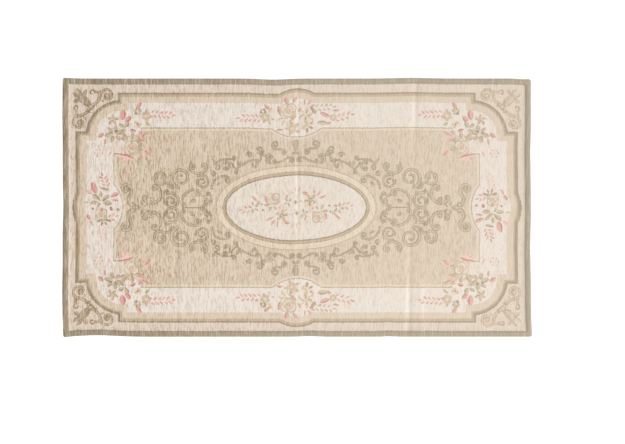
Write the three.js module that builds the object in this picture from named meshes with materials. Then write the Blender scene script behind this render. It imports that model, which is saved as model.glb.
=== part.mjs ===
// A flat-woven chenille rug laid out on a floor: one piece of cloth with its edge turned under as a hem.
// +X runs along the long sides, +Y along the short sides and +Z up. The underside lies on z = 0.
import * as THREE from "three";

// Driving dimensions, in millimetres.
const LENGTH = 1632;
const WIDTH = 900;
const CLOTH_THICKNESS = 4;
const HEM_THICKNESS = 6.5;
const CORNER_RADIUS = 7;
const UNDERSIDE_INSET = 1.8;

// Spacing of the surface's points over the cloth inside the hem.
const STEP_ALONG = 22;
const STEP_ACROSS = 61;

// Section of the hem, from the outer edge inwards: the distance from the edge, and the height of the top.
const HEM_SECTION = [
  { inset: 0, height: 0.45 * HEM_THICKNESS },
  { inset: 0.8, height: 0.78 * HEM_THICKNESS },
  { inset: 2.4, height: 0.94 * HEM_THICKNESS },
  { inset: 5.5, height: HEM_THICKNESS },
  { inset: 15, height: HEM_THICKNESS },
  { inset: 18.5, height: 0.86 * HEM_THICKNESS },
  { inset: 21, height: CLOTH_THICKNESS },
];

// How the four edges wander: a soft wave centred at a place along the side, out being away from the middle.
const EDGE_WAVES = [
  { side: "top", at: -816, reach: 60, out: 2.6 },
  { side: "top", at: -80, reach: 95, out: -3.8 },
  { side: "top", at: 400, reach: 120, out: 2.4 },
  { side: "top", at: 790, reach: 34, out: -3 },
  { side: "bottom", at: -816, reach: 28, out: 4.5 },
  { side: "bottom", at: -700, reach: 130, out: -5.2 },
  { side: "bottom", at: 40, reach: 60, out: -1.8 },
  { side: "bottom", at: 318, reach: 30, out: -1.6 },
  { side: "left", at: 15, reach: 60, out: -2.8 },
  { side: "left", at: -300, reach: 130, out: 1.8 },
  { side: "left", at: 335, reach: 60, out: 1.5 },
  { side: "left", at: -446, reach: 26, out: -3.4 },
  { side: "right", at: 175, reach: 70, out: -2.6 },
  { side: "right", at: -140, reach: 70, out: -3.2 },
  { side: "right", at: -430, reach: 80, out: 3.6 },
];

// Fold marks left from packing: low rounded ridges across the rug, strongest at one place along their run.
const CREASES = [
  { at: 2, height: 1.3, reach: 17, strongest: -120, run: 520 },
  { at: 392, height: 1.5, reach: 20, strongest: -330, run: 420 },
  { at: -402, height: 0.6, reach: 18, strongest: -300, run: 400 },
];

// The lie of the cloth between them: long shallow swells.
const SWELLS = [
  { height: 0.35, lengthX: 610, lengthY: 430, shift: 0.9 },
  { height: 0.25, lengthX: 290, lengthY: 760, shift: 2.3 },
];

const COLOURS = { cloth: 0xddcfbd };

// A wave's share of its full height at a distance from its centre: 1 there, and a tenth at its reach.
function softWave(distance, reach) {
  return Math.exp(-Math.log(10) * (distance / reach) ** 2);
}

function edgeWave(side, along) {
  return EDGE_WAVES.filter((wave) => wave.side === side).reduce(
    (sum, wave) => sum + wave.out * softWave(along - wave.at, wave.reach),
    0,
  );
}

// Places along one direction of the grid: close together over the hem and the creases, and even elsewhere.
function stations(size, step, creases) {
  const insets = HEM_SECTION.map((row) => row.inset);
  const inner = insets[insets.length - 1];
  const count = Math.round((size - 2 * inner) / step);
  const even = Array.from(
    { length: count - 1 },
    (_, i) => inner + ((i + 1) * (size - 2 * inner)) / count - size / 2,
  );
  const clear = even.filter((place) =>
    creases.every((crease) => Math.abs(place - crease.at) > 1.3 * crease.reach),
  );
  const onCreases = creases.flatMap((crease) =>
    [-1, -0.5, 0, 0.5, 1].map((share) => crease.at + share * crease.reach),
  );
  const near = insets.map((inset) => inset - size / 2);
  const far = insets.map((inset) => size / 2 - inset);
  return [...near, ...clear, ...onCreases, ...far].sort((a, b) => a - b);
}

// Distance of a grid point from the nearest edge.
function insetOf(x, y) {
  return Math.min(LENGTH / 2 - Math.abs(x), WIDTH / 2 - Math.abs(y));
}

// Height of the top: the hem's section near the edge, and the cloth with its swells and creases inside it.
function topHeight(x, y) {
  const inset = insetOf(x, y);
  const last = HEM_SECTION[HEM_SECTION.length - 1];
  const outer = HEM_SECTION.findLast((row) => row.inset <= inset + 1e-6);
  const next = HEM_SECTION[HEM_SECTION.indexOf(outer) + 1] ?? last;
  const share = next === outer ? 0 : (inset - outer.inset) / (next.inset - outer.inset);
  const plain = outer.height + share * (next.height - outer.height);
  const fadeIn = Math.min(1, inset / last.inset);
  const swell = SWELLS.reduce(
    (sum, row) =>
      sum +
      row.height *
        Math.sin((2 * Math.PI * x) / row.lengthX + row.shift) *
        Math.cos((2 * Math.PI * y) / row.lengthY + row.shift),
    0,
  );
  const crease = CREASES.reduce(
    (sum, row) =>
      sum + row.height * softWave(x - row.at, row.reach) * softWave(y - row.strongest, row.run),
    0,
  );
  return plain + fadeIn * (swell + crease);
}

// Pulls the square corner of the grid into a quarter circle.
function roundCorner(x, y) {
  const a = CORNER_RADIUS - (LENGTH / 2 - Math.abs(x));
  const b = CORNER_RADIUS - (WIDTH / 2 - Math.abs(y));
  if (a <= 0 || b <= 0) return [x, y];
  const pull = Math.max(a, b) / Math.hypot(a, b);
  return [
    Math.sign(x) * (LENGTH / 2 - CORNER_RADIUS + a * pull),
    Math.sign(y) * (WIDTH / 2 - CORNER_RADIUS + b * pull),
  ];
}

// Moves a point with the wandering of the edges, shared out across the cloth between opposite sides.
function wander(x, y) {
  const toRight = x / LENGTH + 0.5;
  const toTop = y / WIDTH + 0.5;
  return [
    x + toRight * edgeWave("right", y) - (1 - toRight) * edgeWave("left", y),
    y + toTop * edgeWave("top", x) - (1 - toTop) * edgeWave("bottom", x),
  ];
}

// The closed solid: the top as a grid, a flat underside drawn in a little, and the rounded side between them.
function clothGeometry() {
  const xs = stations(LENGTH, STEP_ALONG, CREASES);
  const ys = stations(WIDTH, STEP_ACROSS, []);
  const points = [];
  const triangles = [];
  for (const y of ys) {
    for (const x of xs) {
      const [px, py] = wander(...roundCorner(x, y));
      points.push(px, py, topHeight(x, y));
    }
  }
  // Each cell is cut along the diagonal that points to its own corner of the rug.
  const topIndex = (i, j) => j * xs.length + i;
  for (let j = 0; j + 1 < ys.length; j++) {
    for (let i = 0; i + 1 < xs.length; i++) {
      const [a, b] = [topIndex(i, j), topIndex(i + 1, j)];
      const [c, d] = [topIndex(i + 1, j + 1), topIndex(i, j + 1)];
      if ((xs[i] + xs[i + 1]) * (ys[j] + ys[j + 1]) > 0) triangles.push(a, b, c, a, c, d);
      else triangles.push(a, b, d, b, c, d);
    }
  }

  // The grid's border, anticlockwise from above.
  const [lastX, lastY] = [xs.length - 1, ys.length - 1];
  const border = [];
  for (let i = 0; i < lastX; i++) border.push([i, 0]);
  for (let j = 0; j < lastY; j++) border.push([lastX, j]);
  for (let i = lastX; i > 0; i--) border.push([i, lastY]);
  for (let j = lastY; j > 0; j--) border.push([0, j]);

  const firstUnder = points.length / 3;
  for (const [i, j] of border) {
    const [x, y] = roundCorner(xs[i], ys[j]);
    const [px, py] = wander(
      x * (1 - (2 * UNDERSIDE_INSET) / LENGTH),
      y * (1 - (2 * UNDERSIDE_INSET) / WIDTH),
    );
    points.push(px, py, 0);
  }
  border.forEach(([i, j], k) => {
    const after = (k + 1) % border.length;
    const [a, b] = [topIndex(i, j), topIndex(...border[after])];
    const [c, d] = [firstUnder + after, firstUnder + k];
    triangles.push(a, d, c, a, c, b);
  });

  // The flat underside: a fan at each end, and straight strips across the rug between the two fans.
  const nearSide = (i) => firstUnder + i;
  const farSide = (i) => firstUnder + lastX + lastY + (lastX - i);
  const fanColumns = [HEM_SECTION.length, lastX - HEM_SECTION.length];
  const fanCentres = fanColumns.map((i) => {
    points.push(...wander(xs[i], 0), 0);
    return points.length / 3 - 1;
  });
  const [firstFan, secondFan] = fanColumns;
  border.forEach(([i], k) => {
    const after = (k + 1) % border.length;
    const furthest = Math.max(i, border[after][0]);
    const nearest = Math.min(i, border[after][0]);
    if (furthest <= firstFan + 1) triangles.push(fanCentres[0], firstUnder + after, firstUnder + k);
    if (nearest >= secondFan - 1) triangles.push(fanCentres[1], firstUnder + after, firstUnder + k);
  });
  const [west, east] = [firstFan + 1, secondFan - 1];
  triangles.push(fanCentres[0], farSide(west), nearSide(west));
  triangles.push(fanCentres[1], nearSide(east), farSide(east));
  for (let i = west; i < east; i++) {
    const [a, b] = [nearSide(i), nearSide(i + 1)];
    const [c, d] = [farSide(i + 1), farSide(i)];
    triangles.push(a, c, b, a, d, c);
  }

  const geometry = new THREE.BufferGeometry();
  geometry.setAttribute("position", new THREE.Float32BufferAttribute(points, 3));
  geometry.setIndex(triangles);
  geometry.computeBoundingBox();
  const middle = geometry.boundingBox.getCenter(new THREE.Vector3());
  geometry.translate(-middle.x, -middle.y, 0);
  geometry.computeVertexNormals();
  return geometry;
}

const cloth = new THREE.Mesh(
  clothGeometry(),
  new THREE.MeshStandardMaterial({ color: COLOURS.cloth, roughness: 0.95, metalness: 0 }),
);
cloth.name = "rug";

const group = new THREE.Group();
group.add(cloth);

export default group;
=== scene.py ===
"""A flat-woven chenille rug, laid out on a pale studio floor and seen from straight above.

The cloth is built as it is woven: a weaver's chart gives the yarn of every stitch, and each
run of one yarn along a column of the weave becomes one face of the cloth.
"""

import math
from collections import namedtuple

import bpy
import numpy as np
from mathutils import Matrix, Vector, noise
from mathutils.bvhtree import BVHTree


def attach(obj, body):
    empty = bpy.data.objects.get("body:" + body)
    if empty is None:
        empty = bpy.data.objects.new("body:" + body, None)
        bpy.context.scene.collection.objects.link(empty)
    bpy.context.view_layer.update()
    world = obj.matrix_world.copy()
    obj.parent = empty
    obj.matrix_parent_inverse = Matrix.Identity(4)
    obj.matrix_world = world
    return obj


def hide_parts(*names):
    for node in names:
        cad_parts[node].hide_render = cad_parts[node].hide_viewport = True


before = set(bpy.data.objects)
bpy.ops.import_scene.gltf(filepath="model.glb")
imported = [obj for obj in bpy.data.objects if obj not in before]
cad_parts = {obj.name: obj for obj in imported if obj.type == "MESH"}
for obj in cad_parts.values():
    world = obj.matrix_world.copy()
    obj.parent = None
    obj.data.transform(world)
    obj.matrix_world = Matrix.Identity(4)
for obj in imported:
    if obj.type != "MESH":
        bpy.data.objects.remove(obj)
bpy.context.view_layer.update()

bl_info = {
    "name": "Medallion rug",
    "version": (1, 0, 0),
    "blender": (4, 5, 0),
    "location": "View3D > Sidebar > Rug",
    "description": "Weaves a chenille rug from a chart and sets it in a plain studio",
    "category": "Object",
}

MM = 0.001
NODE = "rug"

# The photograph's frame, and where the rug's middle lies in it, in its pixels.
FRAME_PIXELS = (625, 444)
MIDDLE_PIXEL = (297.1, 207.8)

# The design is drawn on squares, 468 of them along the rug, counted from its middle.
SQUARES_ALONG = 468

# Yarns: the key used in the chart, the name and use shown in the panel, the colour as seen on
# screen, and how strongly darker and paler fibres streak it.
Yarn = namedtuple("Yarn", "key label use colour flecks")
YARNS = (
    Yarn("olive", "Olive", "outer border", (0.632, 0.577, 0.493), 0.6),
    Yarn("guard", "Guard", "stripe inside the outer border", (0.883, 0.822, 0.757), 0.6),
    Yarn("line_dark", "Dark line", "outer side of the narrow line", (0.62, 0.557, 0.46), 0.5),
    Yarn("line_light", "Light line", "inner side of the narrow line", (0.757, 0.679, 0.565), 0.5),
    Yarn("beige", "Beige", "band beside the narrow line", (0.862, 0.793, 0.708), 0.5),
    Yarn("cream", "Cream", "wide border", (0.921, 0.883, 0.845), 0.58),
    Yarn("field", "Field", "ground of the middle", (0.862, 0.792, 0.706), 0.95),
    Yarn("field_edge", "Field edge", "thin dark line round the field", (0.735, 0.668, 0.57), 0.5),
    Yarn("field_glow", "Field glow", "thin pale line inside it", (0.90, 0.84, 0.755), 0.5),
    Yarn("white", "White", "ground of the oval", (0.91, 0.873, 0.827), 0.65),
    Yarn("halo", "Halo", "pale ring round the oval", (0.905, 0.843, 0.755), 0.7),
    Yarn("blush", "Blush", "pale petals", (0.925, 0.785, 0.74), 0.35),
    Yarn("pink", "Pink", "petals", (0.88, 0.66, 0.62), 0.35),
    Yarn("rose", "Rose", "shaded side of petals", (0.77, 0.515, 0.485), 0.35),
    Yarn("wine", "Wine", "flower hearts", (0.64, 0.43, 0.40), 0.35),
    Yarn("ivory", "Ivory", "rose petals", (0.905, 0.84, 0.765), 0.4),
    Yarn("fawn", "Fawn", "shaded rose petals", (0.83, 0.745, 0.635), 0.4),
    Yarn("straw", "Straw", "pale leaves", (0.79, 0.72, 0.615), 0.4),
    Yarn("sage", "Sage", "leaves", (0.69, 0.625, 0.51), 0.4),
    Yarn("moss", "Moss", "dark side of leaves", (0.575, 0.52, 0.425), 0.4),
    Yarn("brown", "Brown", "twigs and dots", (0.665, 0.57, 0.465), 0.4),
    Yarn("scroll_rim", "Scroll outline", "outline of the scrollwork", (0.635, 0.568, 0.462), 0.7),
    Yarn("scroll", "Scroll", "shaded side of the scrollwork", (0.735, 0.662, 0.558), 0.8),
    Yarn("scroll_light", "Scroll light", "pale side of the scrollwork", (0.85, 0.78, 0.688), 0.8),
)
YARN_NUMBER = {yarn.key: number for number, yarn in enumerate(YARNS)}

# The bands, from the outside in: how far each one starts from the long and from the short sides,
# in squares, how far its corners step in, and the radius of the arc across each corner.
Band = namedtuple("Band", "yarn from_long from_short step_along step_across arc")
# The centres of those arcs lie this far from the short and the long side.
FRAME_ARC_CENTRE = (59.5, 57.9)
FIELD_ARC_CENTRE = (80.2, 74.1)
FRAME_BANDS = (
    Band("line_dark", 14.1, 12.7, 55.6, 53.0, 36.6),
    Band("line_light", 15.8, 15.8, 57.6, 55.4, 34.0),
    Band("beige", 18.2, 17.6, 59.8, 57.2, 32.5),
    Band("cream", 24.3, 23.6, 65.0, 62.5, 25.8),
)
FIELD_BANDS = (
    Band("field_edge", 48.9, 50.7, 78.2, 74.7, 22.0),
    Band("field_glow", 50.0, 51.8, 79.4, 75.9, 20.9),
    Band("field", 52.0, 53.8, 81.4, 77.9, 18.9),
)
# Width of the outermost border.
OLIVE_WIDTH = 6.0

# Bulges at the middle of the sides: how far the narrow line swells outwards there, and how far
# the wide border swells into the field, as the reach along the side and the height, in squares.
Bulge = namedtuple("Bulge", "reach height")
LINE_BULGES = {"long": Bulge(17.4, 4.6), "short": Bulge(15.2, 3.4)}
FIELD_BULGES = {"long": Bulge(24.2, 8.8), "short": Bulge(22.6, 8.4)}

# The oval in the middle: each ring's yarn and half sizes, from the outside in, in squares.
Ring = namedtuple("Ring", "yarn half_length half_width")
ORNAMENT_MIDDLE = (-1.0, 0.0)
OVAL_RINGS = (
    Ring("line_light", 80.6, 42.7),
    Ring("halo", 79.6, 41.6),
    Ring("sage", 73.7, 36.5),
    Ring("line_light", 72.8, 35.6),
    Ring("moss", 71.0, 33.6),
    Ring("white", 69.8, 32.3),
)

# Fold marks left from packing, in metres: place along the rug, height (a trough is negative),
# reach to either side, where along their run they are strongest, the run, and their lean.
Crease = namedtuple("Crease", "at height reach strongest run lean")
CREASES = (
    Crease(0.002, -0.0015, 0.011, 0.10, 0.60, 0.003),
    Crease(0.024, -0.0006, 0.026, 0.20, 0.50, 0.003),
    Crease(0.391, -0.0025, 0.017, -0.33, 0.42, 0.010),
    Crease(0.430, 0.0008, 0.016, -0.36, 0.34, 0.006),
    Crease(0.413, -0.0014, 0.014, 0.38, 0.26, 0.020),
    Crease(-0.418, -0.0006, 0.012, -0.30, 0.38, -0.012),
    Crease(0.205, 0.0005, 0.020, 0.30, 0.30, 0.020),
    Crease(-0.610, 0.0004, 0.018, -0.20, 0.35, -0.010),
)
# How steeply a crease fades, and the share of it that is left at the cloth's very edge.
CREASE_FADE = 2.3
CREASE_AT_EDGE = 0.15
# Puckers: waves per metre along and across the rug, layer of the noise, height in millimetres.
Puckers = namedtuple("Puckers", "along across layer height")
BROAD_PUCKERS = Puckers(5, 9, 0.3, 0.45)
FINE_PUCKERS = Puckers(34, 20, 4.1, 0.18)

# The shapes of the motifs, in squares of the design where nothing else is said.
# How far a window reaches beyond its motif, for the slip of the columns.
MARGIN = 1
# Petals: how pointed they are, where the shade starts as a share of the half width, the thinnest.
PETAL_POINT = 0.8
PETAL_SHADE_FROM = 0.3
THINNEST_PETAL = 1.0
# Blossoms: the number of petals, then the petals' place and size and the heart's size as shares of
# the radius, and the smallest heart.
BLOSSOM_PETALS = 5
BLOSSOM_REACH = 0.58
BLOSSOM_PETAL = 0.44
BLOSSOM_HEART = 0.3
SMALLEST_HEART = 0.75
# The petals of a rose, from the back to the front: where each one's middle lies and its size, as
# shares of the rose's radius, and the yarns of its outline and of the petal itself.
ROSE_PETALS = (
    (-0.38, -0.30, 0.62, "straw", "ivory"),
    (0.40, -0.34, 0.60, "straw", "fawn"),
    (-0.36, 0.32, 0.62, "straw", "ivory"),
    (0.34, 0.36, 0.62, "sage", "ivory"),
    (-0.04, -0.10, 0.64, "straw", "ivory"),
    (0.10, 0.16, 0.50, "straw", "ivory"),
    (0.04, 0.12, 0.32, "straw", "blush"),
)
ROSE_OUTLINE = 0.85
# The rose's heart: its place, length and width as shares of the radius, and its turn in degrees.
ROSE_HEART_AT = 0.08
ROSE_HEART_LENGTH = 0.5
ROSE_HEART_WIDTH = 0.26
ROSE_HEART_TURN = 20
# In a fan, of every three leaves the second is smaller by this share and the third by twice that.
FAN_SHRINK = 0.12
# Sprays: shift of a pair's strokes along the stem as a share of the gap, their distance from the
# stem, their length and width, and their lean in degrees.
SPRAY_STAGGER = 0.22
SPRAY_ASIDE = 2.3
SPRAY_LENGTH = 4.8
SPRAY_WIDTH = 1.9
SPRAY_LEAN = 42
# Curls at the ends of scrolls: turns, how far they wind in as a share of the radius, the width of
# their inner end as a share of the band's, where they begin, and their number of samples.
CURL_TURNS = 1.15
CURL_DEPTH = 0.74
CURL_END = 0.62
CURL_START = 0.02
CURL_SAMPLES = 10
CURL_SAMPLES_PER_SQUARE = 12
# The same for spirals that stand on their own.
VOLUTE_DEPTH = 0.78
VOLUTE_END = 0.6
VOLUTE_SAMPLES_PER_SQUARE = 14
# Number of samples on each arc of a scroll.
ARC_SAMPLES = 40
# Bands of scrollwork: the dark outline, and where the shaded side lies and how wide it is, as
# shares of what is inside the outline.
SCROLL_RIM = 0.85
SCROLL_SHADE_AT = 0.5
SCROLL_SHADE_WIDTH = 0.6
# The least length by which anything is divided.
TINY = 1e-9


class Petal(namedtuple("Petal", "x y length width turn yarn shade", defaults=("",))):
    """A pointed oval: a petal, bud, leaf or stroke, its right-hand side in the shade yarn."""

    def paint(self, chart, place):
        reach = max(self.length, self.width) / 2 + MARGIN
        cells = chart.window(place, self.x, self.y, reach)
        angle = math.radians(self.turn)
        along = cells.x * math.cos(angle) + cells.y * math.sin(angle)
        across = cells.y * math.cos(angle) - cells.x * math.sin(angle)
        share = np.clip(1 - (2 * along / self.length) ** 2, 0, None)
        half = max(self.width, THINNEST_PETAL) / 2 * share**PETAL_POINT
        chart.fill(cells, np.abs(across) < half, self.yarn)
        if self.shade:
            chart.fill(cells, (across < -PETAL_SHADE_FROM * half) & (across > -half), self.shade)


def pink_petal(x, y, length, width, turn):
    """A pink petal with a rose side."""
    return Petal(x, y, length, width, turn, "pink", "rose")


def scroll_leaf(x, y, length, width, turn):
    """A leaf of the scrollwork."""
    return Petal(x, y, length, width, turn, "scroll", "scroll_rim")


class Dot(namedtuple("Dot", "x y radius yarn")):
    """A round spot."""

    def paint(self, chart, place):
        cells = chart.window(place, self.x, self.y, self.radius + MARGIN)
        chart.fill(cells, np.hypot(cells.x, cells.y) < self.radius, self.yarn)


class Blossom(namedtuple("Blossom", "x y radius petals heart turn other")):
    """A small flower of five round petals about a heart, every second petal in the other yarn."""

    def paint(self, chart, place):
        for k in range(BLOSSOM_PETALS):
            angle = math.radians(self.turn + 360 / BLOSSOM_PETALS * k)
            x = self.x + BLOSSOM_REACH * self.radius * math.cos(angle)
            y = self.y + BLOSSOM_REACH * self.radius * math.sin(angle)
            yarn = self.other if k % 2 else self.petals
            Dot(x, y, BLOSSOM_PETAL * self.radius, yarn).paint(chart, place)
        heart = max(SMALLEST_HEART, BLOSSOM_HEART * self.radius)
        Dot(self.x, self.y, heart, self.heart).paint(chart, place)


class Rose(namedtuple("Rose", "x y radius")):
    """A full rose: pale petals with thin outlines, wound about a pink heart."""

    def paint(self, chart, place):
        for share_x, share_y, size, outline, yarn in ROSE_PETALS:
            x, y = self.x + share_x * self.radius, self.y + share_y * self.radius
            Dot(x, y, size * self.radius, outline).paint(chart, place)
            Dot(x, y, size * self.radius - ROSE_OUTLINE, yarn).paint(chart, place)
        x, y = self.x + ROSE_HEART_AT * self.radius, self.y + ROSE_HEART_AT * self.radius
        length, width = ROSE_HEART_LENGTH * self.radius, ROSE_HEART_WIDTH * self.radius
        Petal(x, y, length, width, ROSE_HEART_TURN, "pink").paint(chart, place)


class Fan(namedtuple("Fan", "x y reach first step count length width yarn shade", defaults=("",))):
    """Leaves or petals of one kind set evenly on an arc about a point, each pointing away from it."""

    def paint(self, chart, place):
        for k in range(self.count):
            turn = self.first + k * self.step
            angle = math.radians(turn)
            x, y = self.x + self.reach * math.cos(angle), self.y + self.reach * math.sin(angle)
            size = 1 - FAN_SHRINK * (k % 3)
            leaf = Petal(x, y, size * self.length, size * self.width, turn, self.yarn, self.shade)
            leaf.paint(chart, place)


class Spray(namedtuple("Spray", "x y turn count gap yarn shade", defaults=(4.4, "pink", "rose"))):
    """Pairs of small strokes along a stem, and one stroke at its tip."""

    def paint(self, chart, place):
        angle = math.radians(self.turn)
        for k in range(self.count):
            for side in (0,) if k == self.count - 1 else (1, -1):
                along = (k + SPRAY_STAGGER * side) * self.gap
                x = self.x + along * math.cos(angle) - SPRAY_ASIDE * side * math.sin(angle)
                y = self.y + along * math.sin(angle) + SPRAY_ASIDE * side * math.cos(angle)
                shade = self.shade if (k + side) % 3 == 0 else ""
                turn = self.turn + SPRAY_LEAN * side
                Petal(x, y, SPRAY_LENGTH, SPRAY_WIDTH, turn, self.yarn, shade).paint(chart, place)


class Scroll(namedtuple("Scroll", "x y end_x end_y bends width start end", defaults=((), ()))):
    """A band from one point to another, bent in arcs of equal chords and wound up at one end or both.

    A bend is the angle through which its arc turns, to the left if positive. A curl is its radius
    and its hand: 1 winds to the left of the way out of that end, -1 to the right.
    """

    def paint(self, chart, place):
        line = bent_line((self.x, self.y), (self.end_x, self.end_y), self.bends)
        half = np.full(len(line), self.width / 2)
        if self.start:
            line, half = wind_on(line[::-1], half[::-1], self.width, self.start)
            line, half = line[::-1], half[::-1]
        if self.end:
            line, half = wind_on(line, half, self.width, self.end)
        paint_band(chart, place, line, half)


class Volute(namedtuple("Volute", "x y radius opens hand turns width")):
    """A spiral of its own, of a radius, wound from a start angle for some turns to one hand."""

    def paint(self, chart, place):
        steps = np.linspace(0, 1, int(VOLUTE_SAMPLES_PER_SQUARE * self.turns * self.radius))
        angle = math.radians(self.opens) + self.hand * steps * self.turns * math.tau
        reach = self.radius * (1 - VOLUTE_DEPTH * steps)
        line = np.stack([self.x + reach * np.cos(angle), self.y + reach * np.sin(angle)], axis=1)
        half = np.linspace(self.width / 2, VOLUTE_END * self.width / 2, len(line))
        paint_band(chart, place, line, half)


def paint_band(chart, place, line, half):
    """A band of scrollwork: a dark outline, a pale side and a shaded side."""
    ahead = np.gradient(line, axis=0)
    length = np.maximum(np.hypot(ahead[:, 0], ahead[:, 1]), TINY)
    aside = np.stack([-ahead[:, 1], ahead[:, 0]], axis=1) / length[:, None]
    inner = half - SCROLL_RIM
    chart.brush(place, line, half, "scroll_rim")
    chart.brush(place, line, inner, "scroll_light")
    shaded = line + aside * SCROLL_SHADE_AT * inner[:, None]
    chart.brush(place, shaded, SCROLL_SHADE_WIDTH * inner, "scroll")


def bent_line(start, end, bends):
    """Samples on arcs with equal chords, one for each bend in degrees, from start to end."""
    stops = np.linspace(start, end, len(bends) + 1)
    t = np.linspace(-1, 1, ARC_SAMPLES)
    pieces = []
    for here, there, bend in zip(stops, stops[1:], bends):
        half = math.radians(bend) / 2
        along = 0.5 + np.sin(half * t) / (2 * math.sin(half))
        aside = (np.cos(half * t) - math.cos(half)) / (2 * math.sin(half))
        way = there - here
        pieces.append(here + along[:, None] * way + aside[:, None] * np.array([way[1], -way[0]]))
    return np.concatenate([pieces[0], *(piece[1:] for piece in pieces[1:])])


def wind_on(line, half, width, curl):
    """A line and its half widths with a curl at the end that narrows inwards."""
    wound = spiral(line[-1], line[-1] - line[-3], *curl)
    taper = np.linspace(width / 2, CURL_END * width / 2, len(wound))
    return np.concatenate([line, wound]), np.concatenate([half, taper])


def spiral(start, heading, radius, hand):
    """Samples on a spiral that leaves a point along a heading and winds inwards."""
    heading = heading / np.hypot(*heading)
    centre = start + hand * radius * np.array([-heading[1], heading[0]])
    first = math.atan2(*(start - centre)[::-1])
    samples = int(CURL_SAMPLES + CURL_SAMPLES_PER_SQUARE * radius * CURL_TURNS)
    steps = np.linspace(CURL_START, 1, samples)
    angle = first + hand * steps * CURL_TURNS * math.tau
    reach = radius * (1 - CURL_DEPTH * steps)
    return centre + reach[:, None] * np.stack([np.cos(angle), np.sin(angle)], axis=1)


# Where a group of motifs stands: its origin on the chart, 1 or -1 for each axis to mirror it, and
# whether its two axes change places, which mirrors it about its diagonal.
Place = namedtuple("Place", "x y flip_x flip_y swapped", defaults=(1, 1, False))
# The stitches of a window: its columns and rows, and their distances from its middle.
Cells = namedtuple("Cells", "columns rows x y")

# Neighbouring columns are beaten up a little more or less: the spread of that, as a share of a row.
SLIP = 0.34
# Distances from the edge, in millimetres, where the rolled edge and the hem of the cloth bend.
EDGE_INSETS = (0, 0.8, 2.4, 5.5)
HEM_INSETS = (10, 15, 18.5, 21)
HEM_DEPTH = HEM_INSETS[-1] * MM


class Chart:
    """The weaver's chart: a yarn number for each stitch, by column and row."""

    def __init__(self, sizes):
        self.square = sizes.length / SQUARES_ALONG
        self.column_lines = chart_lines(sizes.length, sizes.column_pitch)
        self.row_lines = chart_lines(sizes.width, sizes.row_pitch)
        self.x = (self.column_lines[1:] + self.column_lines[:-1]) / 2 / self.square
        self.y = (self.row_lines[1:] + self.row_lines[:-1]) / 2 / self.square
        self.half = (sizes.length / 2 / self.square, sizes.width / 2 / self.square)
        draw = np.random.default_rng(sizes.seed)
        self.slip = draw.normal(0, SLIP, len(self.x)) * sizes.row_pitch / self.square
        self.yarn = np.full((len(self.x), len(self.y)), YARN_NUMBER["olive"])

    def window(self, place, x, y, reach):
        """The stitches round a point of a place, with their distances from it along the place's axes."""
        if place.swapped:
            x, y = y, x
        middle_x, middle_y = place.x + place.flip_x * x, place.y + place.flip_y * y
        columns = slice(*np.searchsorted(self.x, [middle_x - reach, middle_x + reach]))
        rows = slice(*np.searchsorted(self.y, [middle_y - reach, middle_y + reach]))
        offset_x = place.flip_x * (self.x[columns] - middle_x)[:, None]
        offset_y = place.flip_y * (self.y[rows] - middle_y)[None, :]
        offset_y = offset_y + place.flip_y * self.slip[columns][:, None]
        offset_x = offset_x + np.zeros_like(offset_y)
        if place.swapped:
            offset_x, offset_y = offset_y, offset_x
        return Cells(columns, rows, offset_x, offset_y)

    def fill(self, cells, mask, key):
        """Puts a yarn where the mask says so."""
        self.yarn[cells.columns, cells.rows][mask] = YARN_NUMBER[key]

    def brush(self, place, line, half, key):
        """A stroke along sampled points with a half width at each."""
        low, high = line.min(axis=0), line.max(axis=0)
        middle = (low + high) / 2
        reach = max(high - low) / 2 + max(half) + MARGIN
        cells = self.window(place, *middle, reach)
        shape = cells.x.shape
        gap_x = cells.x.reshape(-1, 1) + middle[0] - line[:, 0]
        gap_y = cells.y.reshape(-1, 1) + middle[1] - line[:, 1]
        touched = (np.hypot(gap_x, gap_y) < half).any(axis=1)
        self.fill(cells, touched.reshape(shape), key)

    def lighten(self, cells):
        """Puts the next paler yarn in place of each one of the scrollwork, as painted light."""
        woven = self.yarn[cells.columns, cells.rows]
        for key, paler in (("scroll", "scroll_light"), ("scroll_rim", "scroll")):
            woven[woven == YARN_NUMBER[key]] = YARN_NUMBER[paler]

    def whole(self):
        """Every stitch of the chart."""
        return self.window(Place(0, 0), 0, 0, max(self.half) + MARGIN)

    def insets(self, cells):
        """How far the stitches of the whole chart lie from the nearest short and long side."""
        return self.half[0] - np.abs(cells.x), self.half[1] - np.abs(cells.y)


def chart_lines(size, pitch):
    """Lines between the stitches across one side: even, and closer over the rolled edge."""
    rolled = [inset * MM - size / 2 for inset in EDGE_INSETS]
    inner = size / 2 + rolled[-1]
    count = round((size - 2 * inner) / pitch)
    even = np.linspace(-size / 2 + inner, size / 2 - inner, count + 1)[1:-1]
    return np.concatenate([rolled, even, [-line for line in reversed(rolled)]])


def corner_panel(from_short, from_long, band, arc_centre):
    """A rectangle whose corners step in to a quarter circle that swells towards the rug's corner."""
    arc = np.hypot(from_short - arc_centre[0], from_long - arc_centre[1]) < band.arc
    beside_short = (from_short > band.from_short) & (from_long > band.step_across)
    beside_long = (from_long > band.from_long) & (from_short > band.step_along)
    return beside_short | beside_long | arc


def bulge_disc(along, depth, bulge, grow):
    """A disc that stands out by the bulge's height from a side at depth 0, grown or shrunk a little."""
    radius = (bulge.reach**2 + bulge.height**2) / (2 * bulge.height)
    return np.hypot(along, depth - (radius - bulge.height)) < radius + grow


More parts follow.
